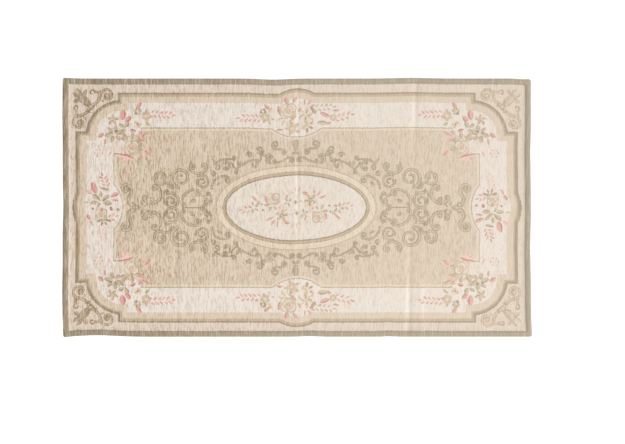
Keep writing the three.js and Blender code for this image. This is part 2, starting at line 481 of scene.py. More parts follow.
def weave_bands(chart):
    """The borders and the field."""
    cells = chart.whole()
    from_short, from_long = chart.insets(cells)
    chart.fill(cells, np.minimum(from_short, from_long) > OLIVE_WIDTH, "guard")
    outer = FRAME_BANDS[0]
    for band in FRAME_BANDS:
        panel = corner_panel(from_short, from_long, band, FRAME_ARC_CENTRE)
        grow_long = outer.from_long - band.from_long
        grow_short = outer.from_short - band.from_short
        panel |= bulge_disc(cells.x, from_long - outer.from_long, LINE_BULGES["long"], grow_long)
        panel |= bulge_disc(cells.y, from_short - outer.from_short, LINE_BULGES["short"], grow_short)
        chart.fill(cells, panel, band.yarn)
    outer = FIELD_BANDS[0]
    for band in FIELD_BANDS:
        panel = corner_panel(from_short, from_long, band, FIELD_ARC_CENTRE)
        grow = band.from_long - outer.from_long
        panel &= ~bulge_disc(cells.x, outer.from_long - from_long, FIELD_BULGES["long"], grow)
        panel &= ~bulge_disc(cells.y, outer.from_short - from_short, FIELD_BULGES["short"], grow)
        chart.fill(cells, panel, band.yarn)


def weave_oval(chart):
    """The rings of the oval and its ground."""
    cells = chart.whole()
    for ring in OVAL_RINGS:
        x = (cells.x - ORNAMENT_MIDDLE[0]) / ring.half_length
        y = (cells.y - ORNAMENT_MIDDLE[1]) / ring.half_width
        chart.fill(cells, np.hypot(x, y) < 1, ring.yarn)


# Scrollwork of the field, for one quarter: squares from the oval's middle, along and across the rug.
FIELD_SCROLLS = (
    # At the end of the ornament, on the long axis.
    Scroll(168, 22.4, 164, 2, (100, -110), 3.8, (4.2, -1), (1.3, -1)),
    Fan(154, 0, 4.5, 20, 65, 3, 7, 3, "scroll", "scroll_rim"),
    # The large C with its two curls and the ring inside it.
    Scroll(152.3, 8.5, 139, 21.4, (-200,), 3.4, (2.0, 1), (2.8, -1)),
    Volute(144.7, 8.1, 2.9, 270, -1, 1.1, 1.7),
    # The spiral beside it, and the small curls between the two.
    Volute(125.1, 6.4, 8.4, 69, 1, 1.55, 3.2),
    Scroll(130.5, 17, 131.4, 4.6, (-50,), 2.0, (1.6, 1), (1.8, -1)),
    # The open curl above the C, and its foot.
    Scroll(132, 25.3, 125, 24.4, (-20,), 2.8, (), (2.4, 1)),
    Scroll(130.6, 31.5, 131.6, 25.2, (-290,), 3.2, (2.2, 1), ()),
    scroll_leaf(138.5, 31.5, 8, 2.4, 265),
    # The great spiral, and the stem that hangs from it.
    Volute(114.7, 29.8, 10.2, 290, 1, 1.5, 3.8),
    Scroll(114.3, 3.5, 98, 17.4, (112,), 2.8, (1.6, -1), (3.2, 1)),
    Fan(119, 18, 4, -60, 80, 3, 6, 2.6, "scroll", "scroll_rim"),
    Petal(113.3, 1.5, 8, 1.2, 90, "scroll_rim"),
    scroll_leaf(103.5, 6.5, 6.4, 4.2, 160),
    # The U above the side of the oval, and the spiral that hangs from it.
    Scroll(105.3, 38.4, 88.8, 40.5, (-130,), 3.2, (2.6, 1), (2.8, -1)),
    scroll_leaf(104.8, 43.5, 6, 2.2, 100),
    Volute(93.6, 25.6, 7.4, 60, 1, 1.5, 2.8),
    scroll_leaf(99, 25.5, 7, 2.6, 80),
    # Leaves along the end of the oval.
    Scroll(86.5, 14.5, 93, 2.4, (135,), 2.2, (1.6, -1), (1.8, -1)),
    Volute(90, 6.6, 2.8, 90, 1, 1.2, 1.7),
    Fan(91, 10, 3.4, 45, 80, 2, 6, 2.8, "scroll", "scroll_rim"),
    Scroll(112, 0, 95, 0, (1,), 1.2),
    # Round the shoulder of the oval.
    Volute(82.6, 33.8, 2.7, 90, 1, 1.1, 1.8),
    Scroll(84, 19.5, 67.2, 30.4, (115,), 2.4, (), (3.1, 1)),
    scroll_leaf(76.5, 24, 6, 3, 150),
    Volute(78.6, 40.2, 2.9, 90, 1, 1.1, 2),
    Scroll(80.8, 43.6, 62.3, 47.8, (60,), 1.9, (), (2.3, -1)),
    Fan(78, 43, 5, 50, 75, 2, 6.5, 3, "scroll", "scroll_rim"),
    Scroll(69.8, 46.6, 69, 37.6, (150,), 2.2, (1.7, -1), (1.9, 1)),
    Fan(56, 40, 4.5, 70, 40, 2, 6.6, 3.2, "scroll", "scroll_rim"),
    Scroll(64.5, 45, 58, 37.5, (-20,), 1.8),
    Scroll(60.5, 36.6, 39.2, 48.4, (40,), 2.2, (1.7, -1), (1.9, 1)),
    Fan(40, 39, 4, 60, 50, 2, 7.5, 3.4, "scroll", "scroll_rim"),
    Volute(46.1, 53, 2.9, 0, 1, 1.2, 1.9),
    # Above the oval, towards the short axis.
    Volute(36.1, 58.6, 3.6, 300, -1, 1.2, 2.2),
    Scroll(35, 54.5, 35.6, 46.5, (40,), 1.8),
    Volute(31.4, 54, 2.6, 90, -1, 1.1, 1.8),
    Scroll(25.5, 45.2, 26.5, 53.4, (160,), 2.6, (), (2.4, 1)),
    scroll_leaf(26.6, 48.6, 6, 3, 60),
    Scroll(21.8, 60.4, 10.8, 57.9, (-30, 30), 2.4, (3.8, 1), (2.4, 1)),
    Scroll(20.5, 45.6, 3.2, 50.2, (-20, 60), 2.2, (1.7, 1), (2.4, 1)),
    scroll_leaf(1.6, 54.6, 6, 3, 150),
    scroll_leaf(0.6, 63.6, 10, 5, 90),
    scroll_leaf(-0.2, 58.4, 5, 2.4, 0),
)

# The ornament in each corner of the guard stripe, for one side of its diagonal, in squares from
# the rug's corner.
CORNER_SCROLLS = (
    # The leaf in the corner: a broad body on the diagonal and two tips to either side.
    Petal(22.4, 21.2, 17, 6.6, 45, "scroll_rim"),
    scroll_leaf(22.2, 14.6, 8.4, 4.2, -62),
    scroll_leaf(16.6, 13.4, 8.4, 3.8, 50),
    Petal(21.6, 20.4, 14.6, 4.6, 45, "scroll"),
    Petal(19.6, 16.4, 4, 1.2, 20, "scroll_rim"),
    Petal(30.5, 29, 7, 1.6, -45, "scroll_rim"),
    # The stem, its small curl and the large one.
    Scroll(29.6, 26.6, 37, 13.2, (-90,), 3.2),
    Petal(33.2, 25.6, 6.4, 2, 70, "scroll_rim"),
    scroll_leaf(34.8, 13.8, 6, 2.4, 38),
    Volute(29.4, 14.2, 3.1, 0, -1, 0.9, 2.2),
    Scroll(38.6, 17, 47.5, 20, (235,), 2.8, (), (3.6, 1)),
    Dot(44.2, 16.9, 2.6, "scroll_rim"),
    Dot(44.2, 16.9, 1.8, "scroll"),
    scroll_leaf(40, 22.4, 4, 2, 30),
)

# The flower groups, each in squares from its own origin: fans of leaves under a rose, with buds,
# blossoms and sprays round it.
CORNER_FLOWERS = (
    Dot(-9, -12, 7, "white"),
    Dot(5, 3, 5.4, "cream"),
    Fan(-9, -12, 4, 150, 60, 4, 6.5, 3.4, "ivory", "blush"),
    Fan(-6, -1, 5, 0, 60, 6, 7, 4.6, "ivory", "fawn"),
    Fan(-14, 0, 5.4, 15, 60, 6, 9.4, 5, "straw", "sage"),
    Fan(-14, 0, 3, 45, 110, 3, 5, 1.7, "moss"),
    Fan(-15, 14, 3.2, 20, 72, 5, 6.4, 3.4, "fawn", "brown"),
    Fan(2, -11, 9.5, -20, 48, 4, 10, 4.8, "straw", "sage"),
    Fan(-3, 6, 4, 60, 90, 3, 7.4, 4.4, "straw", "brown"),
    Rose(4, -14, 7.4),
    Dot(-13.6, -1, 2.1, "blush"),
    Dot(-13.6, -1, 0.9, "white"),
    pink_petal(-5, 19, 11, 6.2, 84),
    pink_petal(0.5, 15, 8, 4.6, 40),
    pink_petal(-27, -1.5, 7.4, 4.2, 38),
    Petal(-23, -8, 6, 2.6, 80, "pink", "brown"),
    pink_petal(11, 28.5, 8, 3.8, 54),
    Petal(5, 3, 6.4, 3.8, 160, "pink", "wine"),
    Petal(-5.5, -5, 5, 2.2, -30, "pink", "wine"),
    Fan(6, -3, 8, -20, 50, 2, 7, 2.6, "pink", "rose"),
    pink_petal(18, 0.5, 10, 2.2, 27),
    Fan(14, -17, 5, -75, 45, 3, 6, 2.4, "blush", "pink"),
    pink_petal(20, -19, 9, 2.3, -41),
    # The long petal that hangs over the field's corner.
    Petal(-1.6, -23.2, 17, 5, 165, "blush", "rose"),
    Fan(-1, -23, 5, 215, 50, 3, 6, 3, "blush", "pink"),
    # A ring of strokes, buds and small blossoms, and a spray towards the long side.
    Fan(-29.4, -19.7, 3.8, 0, 60, 6, 1.4, 3, "pink"),
    Dot(-29.4, -19.7, 2.4, "ivory"),
    Petal(-18, -20, 7, 1.4, 60, "pink"),
    Blossom(9.7, 22.4, 4.0, "straw", "white", 18, "brown"),
    Blossom(18.4, 17.8, 5.0, "fawn", "blush", 62, "straw"),
    Blossom(10.1, 9.7, 3.8, "fawn", "brown", 0, "ivory"),
    Fan(14, 16, 8.4, -45, 52, 4, 6, 3, "straw", "sage"),
    Spray(24, 20, -4, 6),
)
LONG_SIDE_FLOWERS = (
    Spray(-36, -8, 180, 6),
    Blossom(-30.8, -6.6, 5, "straw", "ivory", 30, "fawn"),
    Blossom(-33, -0.9, 3.4, "brown", "white", 60, "straw"),
    Blossom(-25.4, 0.2, 3.2, "ivory", "fawn", 10, "fawn"),
    pink_petal(-29, 3.8, 8, 3.4, -42),
    Fan(-28, -7, 5.4, 225, 60, 3, 5, 2.4, "straw", "sage"),
    # The rose with its buds, and the blossom below it.
    Fan(-9, -8, 6, 190, 45, 4, 8, 4.4, "ivory", "straw"),
    Rose(-7.6, -0.9, 8.2),
    Petal(-16.6, 0.2, 10, 3.6, -76, "pink", "moss"),
    pink_petal(-9.6, 9.9, 8.4, 4.2, -74),
    Petal(-1.2, 10.1, 7.2, 3.4, 232, "pink", "sage"),
    Petal(-2.6, -8.1, 8.4, 2.7, 222, "pink", "brown"),
    Fan(-4, -18, 5.4, 35, 72, 5, 5.4, 2.8, "straw", "sage"),
    Blossom(-4, -18.6, 5, "fawn", "blush", 30, "straw"),
    Petal(-16.6, -19.4, 7.2, 2.2, 183, "pink", "wine"),
    Petal(1.8, -21, 5, 1.7, -32, "pink"),
    # Blossoms right of the middle.
    Fan(10, -5, 5, 30, 60, 6, 8, 5, "ivory", "straw"),
    Fan(10, -5, 3, 0, 90, 4, 5.4, 2.4, "fawn", "brown"),
    Blossom(9.6, -15.6, 5, "ivory", "fawn", 10, "fawn"),
    Fan(10, -15, 5.6, -80, 50, 3, 5.6, 2.8, "brown", "sage"),
    Petal(17, 0, 9.4, 3.2, -55, "sage", "moss"),
    Petal(16.4, -12, 8, 1.8, 80, "pink"),
    pink_petal(3.4, 0.6, 5.6, 2.4, 65),
    Fan(9, 0, 8, 30, 32, 3, 7.6, 2.1, "pink", "rose"),
    # The leafy twig at the right, and the spray after it.
    Spray(20, 2, 4, 5, 4.6, "straw", "sage"),
    pink_petal(39.8, -0.4, 7, 2.3, 6),
    pink_petal(28.7, -4.9, 10.6, 4.4, 159),
    Blossom(37, -7.5, 3.8, "straw", "ivory", 0, "fawn"),
    Petal(26.4, -13, 11, 4.6, 177, "fawn", "brown"),
    pink_petal(32.6, -13, 5.6, 2.8, 20),
    Spray(42, -8, 14, 4, 5.0),
)
SHORT_SIDE_FLOWERS = (
    Spray(4.5, 22, 112, 4, 3.8),
    pink_petal(-7.5, 18.7, 12, 6, -72),
    Petal(-12.8, 14.8, 6.8, 3.6, -42, "blush", "pink"),
    Petal(2.6, 17.4, 9, 2.8, 165, "straw", "moss"),
    Fan(-1, 3, 6, 0, 60, 6, 8, 5, "ivory", "fawn"),
    Fan(-1, 5, 7, -10, 50, 5, 8.6, 4.6, "straw", "sage"),
    Fan(-1, 5, 3.4, 40, 100, 3, 6, 3, "straw", "moss"),
    Petal(-16, 4, 5, 2.6, 0, "fawn"),
    pink_petal(12.9, 12, 9.4, 4, 24),
    pink_petal(13.3, 6.6, 7, 2.4, -5),
    Petal(9.2, -2.2, 4.6, 3, -62, "rose", "wine"),
    Dot(-9.2, -2.2, 1.2, "brown"),
    Dot(15.8, -2.6, 1.3, "brown"),
    Rose(-0.6, -8.8, 6.4),
    Petal(-0.6, -3.4, 5, 2.2, 100, "pink", "wine"),
    pink_petal(-13.3, -10.5, 7, 3.4, -50),
    Petal(-10, -16.6, 6.8, 2.3, -60, "pink"),
    Spray(8, -12, 20, 3, 3.8),
    Fan(2, -13, 4.4, 200, 50, 4, 6.6, 2.4, "sage", "moss"),
    Spray(0, -20, -78, 5, 3.6, "blush", "pink"),
)
OVAL_FLOWERS = (
    Spray(-47, -1.6, 185, 3),
    Fan(-42.4, 0.4, 3.6, 40, 72, 5, 5, 2.8, "straw", "brown"),
    Dot(-42.6, 0.2, 0.9, "white"),
    pink_petal(-41.4, 9.4, 7.8, 2.5, -40),
    Petal(-37.6, 5.6, 4.2, 3, -50, "straw", "sage"),
    Dot(-34.4, 3.8, 1.1, "brown"),
    Dot(-33.4, -2.1, 1.2, "brown"),
    Fan(-24, 4, 5, 190, 60, 3, 7, 3.2, "straw", "sage"),
    Rose(-22.2, 9.2, 6.3),
    pink_petal(-29.9, 8.7, 7.2, 3.2, -78),
    pink_petal(-15.9, 1.4, 7.2, 2.3, 50),
    # Blossoms towards the middle.
    Fan(-14, -3, 4, 30, 60, 6, 6, 3.8, "ivory", "fawn"),
    Fan(-14.4, -7.5, 4, 15, 72, 5, 6, 3.2, "fawn", "brown"),
    Dot(-14.4, -7.5, 2.2, "brown"),
    Dot(-14.4, -7.5, 0.9, "white"),
    Fan(-8, 6, 3, 50, 80, 4, 5, 2.6, "fawn", "brown"),
    pink_petal(-9.4, 11.4, 4.2, 2.1, 80),
    Petal(-0.6, 5.6, 4, 2.6, 90, "brown", "rose"),
    Petal(-4.2, -6.4, 5.4, 1.2, 12, "fawn"),
    # Strokes below.
    Fan(-18, -7, 9, 205, 32, 3, 8, 2.2, "pink", "rose"),
    pink_petal(-9.2, -14.2, 7, 3.3, -22),
    Fan(-1, -12, 6.4, 250, 36, 3, 5.6, 1.5, "pink"),
)

# The middle of a corner's scrollwork and its reach, in squares. At the right it is made paler, as painted
# light from the right.
CORNER_SCROLLS_MIDDLE = (28, 28, 27)
CORNER_FLOWERS_AT = (168.7, 73.8)
LONG_SIDE_FLOWERS_AT = (-0.6, 97.7)
SHORT_SIDE_FLOWERS_AT = (195.2, 0.6)


def paint_group(chart, motifs, place):
    """Every motif of a group, in turn, at the place where the group stands."""
    for motif in motifs:
        motif.paint(chart, place)


def weave_ornament(chart):
    """Scrollwork and flowers, each group on every side or corner where it stands."""
    both = (1, -1)
    corners = [(flip_x, flip_y) for flip_x in both for flip_y in both]
    for flips in corners:
        paint_group(chart, FIELD_SCROLLS, Place(*ORNAMENT_MIDDLE, *flips))
    weave_oval(chart)
    for flip_x, flip_y in corners:
        corner = (-flip_x * chart.half[0], -flip_y * chart.half[1])
        place = Place(*corner, flip_x, flip_y)
        paint_group(chart, CORNER_SCROLLS, place)
        paint_group(chart, CORNER_SCROLLS, place._replace(swapped=True))
        # Painted light: the corners at the right get paler scrollwork, where the light is stronger.
        if corner[0] > 0:
            chart.lighten(chart.window(place, *CORNER_SCROLLS_MIDDLE))
        at_x, at_y = CORNER_FLOWERS_AT
        paint_group(chart, CORNER_FLOWERS, Place(-flip_x * at_x, flip_y * at_y, flip_x, flip_y))
    for side in both:
        at_x, at_y = LONG_SIDE_FLOWERS_AT
        paint_group(chart, LONG_SIDE_FLOWERS, Place(at_x, side * at_y, 1, side))
        at_x, at_y = SHORT_SIDE_FLOWERS_AT
        paint_group(chart, SHORT_SIDE_FLOWERS, Place(-side * at_x, side * at_y, side, side))
        paint_group(chart, OVAL_FLOWERS, Place(*ORNAMENT_MIDDLE, side, side))


# The height of the cloth's edge above the floor, the radius of its corners, and where the rays
# towards the solid's sides and its top start.
EDGE_HEIGHT = 2.9 * MM
CORNER_RADIUS = 7 * MM
RAY_START = 2.0
RAY_HEIGHT = 1.0
# Points nearer the edge than this lie on it.
AT_EDGE = 0.1 * MM
# Offsets along the rug and weights that turn the solid's flat facets into a soft surface.
SMOOTHING = ((0.0, 3), (-4 * MM, 2), (4 * MM, 2), (-8 * MM, 1), (8 * MM, 1))


class Ground:
    """The CAD solid of the rug, read by rays: how far its edges wander and how high its top lies."""

    def __init__(self, sizes, chart):
        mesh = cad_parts[NODE].data
        points = [vertex.co.copy() for vertex in mesh.vertices]
        faces = [tuple(polygon.vertices) for polygon in mesh.polygons]
        self.solid = BVHTree.FromPolygons(points, faces)
        self.length, self.width = sizes.length, sizes.width
        # Close to a rounded corner a ray would pass the side, so none starts there.
        clear = 2 * CORNER_RADIUS
        xs = np.clip(chart.column_lines, clear - self.length / 2, self.length / 2 - clear)
        ys = np.clip(chart.row_lines, clear - self.width / 2, self.width / 2 - clear)
        self.out = {
            "right": [self.edge((RAY_START, y), (-1, 0)) - self.length / 2 for y in ys],
            "left": [self.edge((-RAY_START, y), (1, 0)) - self.length / 2 for y in ys],
            "top": [self.edge((x, RAY_START), (0, -1)) - self.width / 2 for x in xs],
            "bottom": [self.edge((x, -RAY_START), (0, 1)) - self.width / 2 for x in xs],
        }
        self.column_lines, self.row_lines = chart.column_lines, chart.row_lines

    def edge(self, start, heading):
        """Distance from the middle line to the solid's side, seen from outside."""
        hit = self.solid.ray_cast(Vector((*start, EDGE_HEIGHT)), Vector((*heading, 0)))[0]
        if hit is None:
            raise RuntimeError("a ray missed the side of the rug's solid")
        return abs(hit.x * heading[0] + hit.y * heading[1])

    def wander(self, x, y):
        """Moves places on the flat rectangle with the edges, shared out across the cloth."""
        x, y = round_corners(x, y, self.length, self.width)
        right = np.interp(y, self.row_lines, self.out["right"])
        left = np.interp(y, self.row_lines, self.out["left"])
        top = np.interp(x, self.column_lines, self.out["top"])
        bottom = np.interp(x, self.column_lines, self.out["bottom"])
        to_right, to_top = x / self.length + 0.5, y / self.width + 0.5
        return (
            x + to_right * right - (1 - to_right) * left,
            y + to_top * top - (1 - to_top) * bottom,
        )

    def height(self, x, y, inset):
        """Height of the top: as the solid has it at the hem, and smoothed over the cloth inside it."""
        smooth = SMOOTHING if inset > HEM_DEPTH else SMOOTHING[:1]
        total, weights = 0.0, 0.0
        for offset, weight in smooth:
            hit = self.solid.ray_cast(Vector((x + offset, y, RAY_HEIGHT)), Vector((0, 0, -1)))[0]
            if hit is not None:
                total, weights = total + weight * hit.z, weights + weight
        return total / weights if weights else EDGE_HEIGHT


def round_corners(x, y, length, width):
    """Pulls square corners into quarter circles."""
    a = CORNER_RADIUS - (length / 2 - np.abs(x))
    b = CORNER_RADIUS - (width / 2 - np.abs(y))
    inside = (a > 0) & (b > 0)
    pull = np.where(inside, np.maximum(a, b) / np.maximum(np.hypot(a, b), TINY), 1)
    new_x = np.sign(x) * (length / 2 - CORNER_RADIUS + a * pull)
    new_y = np.sign(y) * (width / 2 - CORNER_RADIUS + b * pull)
    return np.where(inside, new_x, x), np.where(inside, new_y, y)


def pucker_height(puckers, x, y):
    """Height of some puckers at a place, in millimetres."""
    place = Vector((puckers.along * x, puckers.across * y, puckers.layer))
    return puckers.height * noise.noise(place)


def unevenness(x, y, inset):
    """Creases and small puckers of the cloth above the solid's own folds."""
    inside = min(1.0, max(0.0, inset / HEM_DEPTH))
    rise = 0.0
    for crease in CREASES:
        across = (x - crease.at - crease.lean * (y - crease.strongest)) / crease.reach
        along = (y - crease.strongest) / crease.run
        rise += crease.height * math.exp(-CREASE_FADE * (across**2 + along**2))
    puckers = pucker_height(BROAD_PUCKERS, x, y) + pucker_height(FINE_PUCKERS, x, y)
    return (CREASE_AT_EDGE + (1 - CREASE_AT_EDGE) * inside) * rise + inside * puckers * MM


def weave_runs(chart, cut_rows):
    """The faces of the top: each run of one yarn in a column, sharing its neighbours' points."""
    columns, rows = chart.yarn.shape
    cuts = np.zeros((columns, rows + 1), bool)
    cuts[:, 1:rows] = chart.yarn[:, 1:] != chart.yarn[:, :-1]
    cuts[:, cut_rows] = True
    needed = np.zeros((columns + 1, rows + 1), bool)
    needed[:-1] |= cuts
    needed[1:] |= cuts
    number = np.cumsum(needed).reshape(needed.shape) - 1
    faces, yarns = [], []
    for column in range(columns):
        stops = np.flatnonzero(cuts[column])
        left, right = np.flatnonzero(needed[column]), np.flatnonzero(needed[column + 1])
        left_cuts, right_cuts = np.searchsorted(left, stops), np.searchsorted(right, stops)
        left_points, right_points = number[column, left], number[column + 1, right]
        for k, low in enumerate(stops[:-1]):
            up = right_points[right_cuts[k] : right_cuts[k + 1] + 1]
            down = left_points[left_cuts[k] : left_cuts[k + 1] + 1][::-1]
            faces.append([*up.tolist(), *down.tolist()])
            yarns.append(chart.yarn[column, low])
    return needed, number, faces, yarns


# Distance between the rows further in where every column is cut.
FORCED_STEP = 58 * MM


def forced_rows(chart, sizes):
    """Rows where every column is cut: over the rolled edge and the hem, and evenly between them."""
    insets = [inset * MM for inset in (*EDGE_INSETS, *HEM_INSETS)]
    far = np.arange(HEM_DEPTH + FORCED_STEP, sizes.width / 2, FORCED_STEP)
    wanted = np.concatenate([insets, far])
    places = np.concatenate([wanted - sizes.width / 2, sizes.width / 2 - wanted])
    nearest = np.abs(chart.row_lines[:, None] - places[None, :]).argmin(axis=0)
    return np.unique(nearest)


# The side and the underside, from the edge inwards: inset and height in millimetres. The hem flap
# lies on the floor, and the cloth sinks back to it further in. From the third ring on, only every
# sixth point is kept, and the corners.
UNDERSIDE = ((0.5, 1.1), (1.8, 0), (19, 0), (20.5, 1.8), (62, 0.3))
UNDERSIDE_THINNED = 2
UNDERSIDE_STRIDE = 6

# The outer points of the top in turn: their numbers, their flat places, and which are corners.
Border = namedtuple("Border", "numbers x y corners")


def close_underside(sizes, ground, border, first):
    """Points and faces of the side and the underside, hung from the border of the top."""
    points, faces = [], []
    ring = list(border.numbers)
    ring_places = np.arange(len(ring))
    for step, (inset, height) in enumerate(UNDERSIDE):
        keep = np.arange(len(ring))
        if step == UNDERSIDE_THINNED:
            keep = np.array([k for k in keep if k % UNDERSIDE_STRIDE == 0 or k in border.corners])
        places = ring_places[keep]
        x = border.x[places] * (1 - 2 * inset * MM / sizes.length)
        y = border.y[places] * (1 - 2 * inset * MM / sizes.width)
        x, y = ground.wander(x, y)
        start = first + len(points)
        points += [(a, b, height * MM) for a, b in zip(x, y)]
        inner = list(range(start, start + len(places)))
        for k, here in enumerate(keep):
            after = keep[(k + 1) % len(keep)]
            span = range(here, after + 1) if after > here else range(here, len(ring) + 1)
            outer = [ring[m % len(ring)] for m in span]
            faces.append([*outer[::-1], inner[k], inner[(k + 1) % len(inner)]])
        ring, ring_places = inner, places
    faces.append(ring[::-1])
    return points, faces


def border_of(chart, needed, number):
    """The top's outer points in turn, anticlockwise from above."""
    columns, rows = chart.yarn.shape
    ends = np.flatnonzero(needed[0]), np.flatnonzero(needed[columns])
    turn = [(i, 0) for i in range(columns)]
    turn += [(columns, j) for j in ends[1][:-1]]
    turn += [(i, rows) for i in range(columns, 0, -1)]
    turn += [(0, j) for j in ends[0][:0:-1]]
    corners = {turn.index(corner) for corner in ((0, 0), (columns, 0), (columns, rows), (0, rows))}
    numbers = [int(number[place]) for place in turn]
    x = chart.column_lines[[i for i, _ in turn]]
    y = chart.row_lines[[j for _, j in turn]]
    return Border(numbers, x, y, corners)


def weave_cloth(sizes, colours):
    """The whole cloth as one closed mesh with its yarn colours."""
    chart = Chart(sizes)
    weave_bands(chart)
    weave_ornament(chart)
    needed, number, faces, yarns = weave_runs(chart, forced_rows(chart, sizes))
    ground = Ground(sizes, chart)
    lines, rows = np.nonzero(needed)
    flat_x, flat_y = chart.column_lines[lines], chart.row_lines[rows]
    inset = np.minimum(sizes.length / 2 - np.abs(flat_x), sizes.width / 2 - np.abs(flat_y))
    x, y = ground.wander(flat_x, flat_y)
    points = []
    for px, py, depth in zip(x.tolist(), y.tolist(), inset.tolist()):
        low = EDGE_HEIGHT if depth < AT_EDGE else ground.height(px, py, depth)
        points.append((px, py, low + unevenness(px, py, depth)))
    top_faces = len(faces)
    border = border_of(chart, needed, number)
    under_points, under_faces = close_underside(sizes, ground, border, len(points))
    faces += under_faces
    yarns += [YARN_NUMBER["olive"]] * len(under_faces)
    mesh = bpy.data.meshes.new("rug_cloth")
    mesh.from_pydata(points + under_points, [], faces)
    mesh.validate()
    colour_faces(mesh, yarns, colours)
    lay_out(mesh, top_faces, sizes)
    mesh.shade_smooth()
    return mesh


def to_linear(colour):
    """A colour as seen on screen, as the light that a material uses."""
    return [c / 12.92 if c <= 0.04045 else ((c + 0.055) / 1.055) ** 2.4 for c in colour]


def opaque(colour):
    """A colour property as a shader's colour."""
    return (*to_linear(colour), 1)


# Painted light and shade: the yarn colours are made paler where the cloth tips to the right, towards the
# lamp, and darker where it tips to the left: share of the brightness for a slope of 1, and the slope beyond
# which it changes no more.
TILT_SHADING = 1.3
STEEPEST = 0.25
YARN_ATTRIBUTE = "Yarn"
UV_NAME = "OFBake"

# Where the two faces of the cloth lie in the UV square: left, bottom, width and height.
TOP_PATCH = (0.012, 0.13, 0.976, 0.858)
UNDER_PATCH = (0.012, 0.012, 0.976, 0.1)


def colour_faces(mesh, yarns, colours):
    """Each face's yarn as a colour, with painted light and shade from the cloth's tilt, and the strength of
    its flecks as alpha.
    """
    palette = np.array([[*to_linear(getattr(colours, yarn.key)), yarn.flecks] for yarn in YARNS])
    per_face = palette[np.array(yarns)]
    per_corner = np.repeat(per_face, [polygon.loop_total for polygon in mesh.polygons], axis=0)
    tilt = np.array([mesh.vertices[loop.vertex_index].normal.x for loop in mesh.loops])
    # Painted light and shade: paler where the cloth tips to the right, darker where it tips to the left.
    per_corner[:, :3] *= 1 + TILT_SHADING * np.clip(tilt, -STEEPEST, STEEPEST)[:, None]
    attribute = mesh.color_attributes.new(name=YARN_ATTRIBUTE, type="FLOAT_COLOR", domain="CORNER")
    attribute.data.foreach_set("color", per_corner.astype(np.float32).ravel())


def lay_out(mesh, top_faces, sizes):
    """A UV map that gives nearly the whole square to the patterned face."""
    layer = mesh.uv_layers.new(name=UV_NAME)
    for polygon in mesh.polygons:
        left, bottom, width, height = TOP_PATCH if polygon.index < top_faces else UNDER_PATCH
        for loop in polygon.loop_indices:
            point = mesh.vertices[mesh.loops[loop].vertex_index].co
            u = left + width * (point.x / sizes.length + 0.5)
            v = bottom + height * (point.y / sizes.width + 0.5)
            layer.data[loop].uv = (u, v)


class Wire:
    """A node's output, on which Python's arithmetic adds Math nodes."""

    def __init__(self, tree, socket):
        self.tree = tree
        self.socket = socket

    def beside(self, name):
        """Another output of the same node."""
        return Wire(self.tree, self.socket.node.outputs[name])

    def combine(self, operation, first, second):
        return self.tree.node("ShaderNodeMath", {"operation": operation}, {0: first, 1: second})

    def __add__(self, other):
        return self.combine("ADD", self, other)

    def __sub__(self, other):
        return self.combine("SUBTRACT", self, other)

    def __rsub__(self, other):
        return self.combine("SUBTRACT", other, self)

    def __mul__(self, other):
        return self.combine("MULTIPLY", self, other)

    def __rtruediv__(self, other):
        return self.combine("DIVIDE", other, self)

    __radd__ = __add__
    __rmul__ = __mul__


class Tree:
    """Builds a node tree, one node at a time."""

    def __init__(self, nodes_and_links):
        self.nodes = nodes_and_links.nodes
        self.links = nodes_and_links.links
        self.nodes.clear()

    def node(self, kind, settings=None, inputs=None, output=0):
        """A node of a type with its settings and its sockets' values or links, as a wire."""
        node = self.nodes.new(kind)
        for name, value in (settings or {}).items():
            if name == "stops":
                set_stops(node.color_ramp, value)
            else:
                setattr(node, name, value)
        for name, value in (inputs or {}).items():
            if isinstance(value, Wire):
                self.links.new(value.socket, node.inputs[name])
            else:
                node.inputs[name].default_value = value
        return Wire(self, node.outputs[output]) if node.outputs else node


def set_stops(ramp, stops):
    """The places and grey values of a ramp's two ends."""
    for (place, grey), element in zip(stops, ramp.elements):
        element.position = place
        element.color = (grey, grey, grey, 1)


def new_material(name):
    """A material and its empty node tree."""
    material = bpy.data.materials.new(name)
    material.use_nodes = True
    return material, Tree(material.node_tree)


def blend(tree, kind, factor, first, second):
    """Two colours mixed by a factor."""
    settings = {"data_type": "RGBA", "blend_type": kind}
    return tree.node("ShaderNodeMix", settings, {0: factor, 6: first, 7: second}, output=2)


def finish_surface(tree, inputs):
    """A plain shader with the given inputs, led to the tree's output."""
    surface = tree.node("ShaderNodeBsdfPrincipled", {}, inputs)
    tree.node("ShaderNodeOutputMaterial", {}, {"Surface": surface})


# Noise of the fibres: waves per metre along and across the rug, the shift that sets it apart from
# the others, its detail, and where on it the streaks begin and where they are full.
Fibres = namedtuple("Fibres", "along across shift detail begin full", defaults=(0, 1))
FIBRE_ROUGHNESS = 0.6
DARK_STREAKS = Fibres(230, 38, 1.7, 2.0, 0.50, 0.60)
PALE_STREAKS = Fibres(300, 14, 5.2, 2.0, 0.53, 0.62)
SHORT_FLECKS = Fibres(230, 80, 3.4, 2.0, 0.56, 0.66)
BROAD_STREAKS = Fibres(70, 8, 9.1, 3.0)
RIBS = Fibres(420, 60, 2.2, 3.0)
TUFTS = Fibres(900, 700, 7.7, 2.0)
# The streaks show most at the rug's left and less towards its right, where they are washed out as painted
# light from the right: their strength at the left, and how much of it is gone at the right; then the shares
# of the pale and the broad streaks.
STREAKS_AT_LEFT = 0.85
STREAKS_LOST = 0.4
PALE_SHARE = 0.8
BROAD_SHARE = 0.25
# Where along the rug, in metres from its middle, that change and the painted sheen begin and end.
HAZE_FROM = -0.75
HAZE_TO = 0.35
# How much of the painted sheen, a pale haze that stands in for the stronger light at the right, lies over
# the yarns from there on to the right.
PAINTED_SHEEN = 0.2
# The weave's relief: shares of the ribs, the tufts and the broad streaks, strength and height.
RIB_RELIEF = 0.7
TUFT_RELIEF = 0.3
BROAD_RELIEF = 0.5
RELIEF_STRENGTH = 0.55
RELIEF_HEIGHT = 1.2 * MM


